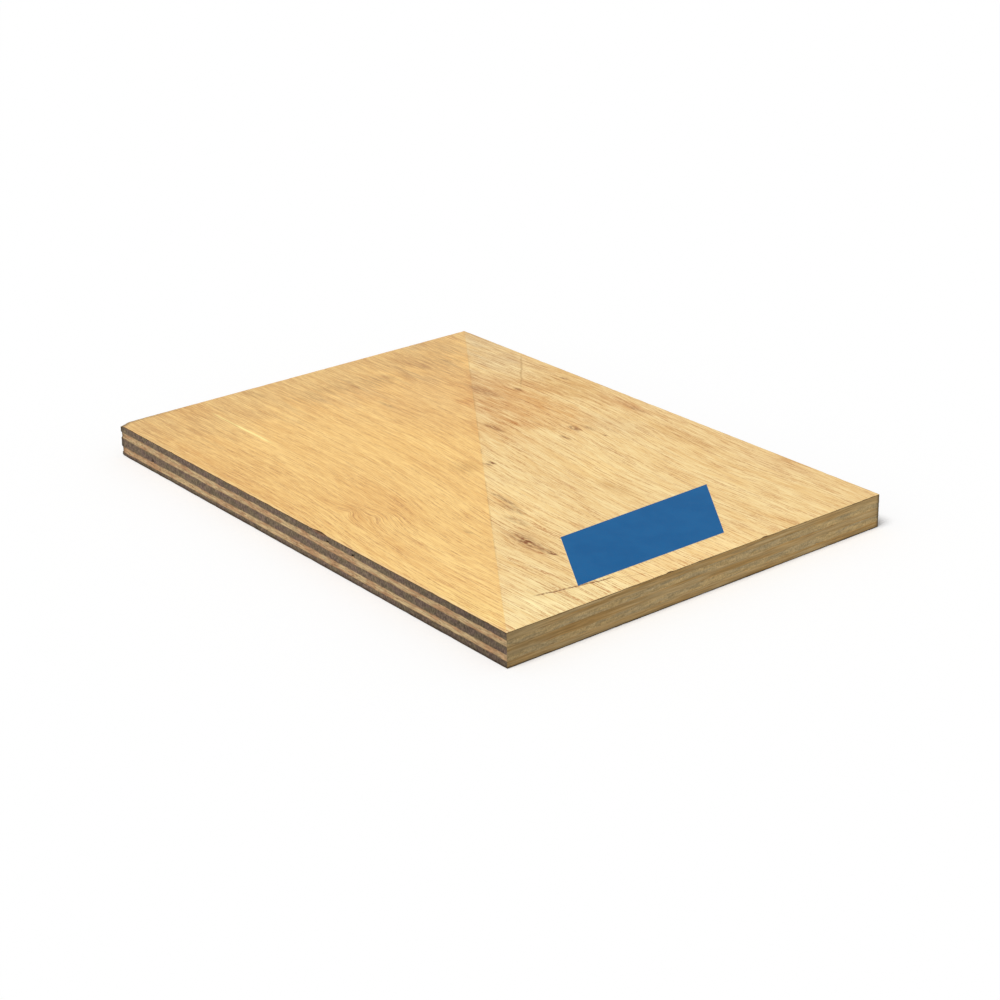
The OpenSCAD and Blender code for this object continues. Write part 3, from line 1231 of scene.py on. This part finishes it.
# %% Label finishes
def label_print():
    film = Wood("label_blue_print")
    cloud = film.streaks(14, 14, 51.0, up=14)
    fibre = film.streaks(0.7, 0.7, 52.0, detail=3.0, up=0.7)
    tone = film.ramp(cloud, noise_low, noise_high)
    colour = film.mix(tone, paint(10, 88, 143), paint(16, 93, 148))
    colour = film.shade(colour, fibre, 0.96, 1.04)
    rough = film.ramp(fibre, noise_low, noise_high, 0.42, 0.52)
    return film.finish(colour, rough, fibre, 0.02, gloss=0.05)


def label_paper():
    paper = Wood("label_paper_edge")
    fibre = paper.streaks(0.5, 0.5, 53.0, detail=3.0, up=0.2)
    tone = paper.ramp(fibre, noise_low, noise_high)
    colour = paper.mix(tone, paint(214, 214, 206), paint(238, 238, 232))
    return paper.finish(colour, 0.9, fibre, 0.02, gloss=0.2)


label_finishes = label_print(), label_paper()

# %% Grid and map of the label
label_corners = np.array(((106.2, -35.3), (153.7, -64.7), (153.7, 28.1), (104.0, 63.4)))
label_columns, label_rows = 41, 81
print_share, glued_start, glued_share = 0.6, 0.62, 0.3
strip_start, strip_end = 0.94, 0.99


def label_places():
    """Grid of places between the label's corners, row by row."""
    right, high = np.meshgrid(np.linspace(0, 1, label_columns), np.linspace(0, 1, label_rows))
    shares = np.stack([(1 - right) * (1 - high), right * (1 - high), right * high, (1 - right) * high], -1)
    return (shares @ label_corners).reshape(-1, 2)


def label_map(points, printed, glued, rim_length):
    """Places on the texture map: from left to right the print, the glued side and the cut edge."""
    plan = (points[:, :2] - label_corners.min(0)) / np.ptp(label_corners, axis=0)
    walk = np.arange(rim_length) / rim_length
    ends = ((strip_start, 0), (strip_start, 1), (strip_end, 1), (strip_end, 0))
    strip = [np.stack([np.full(rim_length, u), walk + step / rim_length], 1) for u, step in ends]
    print_places = plan[printed] * (print_share, 1.0)
    glued_places = plan[glued] * (glued_share, 1.0) + (glued_start, 0.0)
    return np.concatenate([print_places, glued_places, np.stack(strip, 1)]).reshape(-1, 2)


print("the label has", label_columns, "by", label_rows, "points")

# %% Model the label
label_thickness, label_swell, swell_step = 0.12, 0.03, 9.0


def blue_label():
    flat = label_places()
    swell = label_swell * smooth_noise(flat[:, 0] / swell_step, flat[:, 1] / swell_step + 40, 361)
    upper = np.column_stack([flat, sheet_top + label_thickness - label_swell + swell])
    lower = np.column_stack([flat, np.full(len(flat), sheet_top - grain_relief)])
    points = np.concatenate([lower, upper])
    cells, rim = grid_cells(label_columns, label_rows), grid_rim(label_columns, label_rows)
    rim_cells = np.stack([rim, np.roll(rim, -1), np.roll(rim, -1) + len(flat), rim + len(flat)], 1)
    printed, glued = cells + len(flat), cells[:, ::-1]
    faces = np.concatenate([printed, glued, rim_cells])
    slots = np.repeat((0, 1, 1), (len(cells), len(cells), len(rim_cells)))
    places = label_map(points, printed, glued, len(rim))
    piece = make_piece(
        "blue_label", points, faces.tolist(), places, slots, label_finishes,
        {"grain": ("FLOAT_VECTOR", "vector", points)},
    )


blue_label()

# %% [markdown]
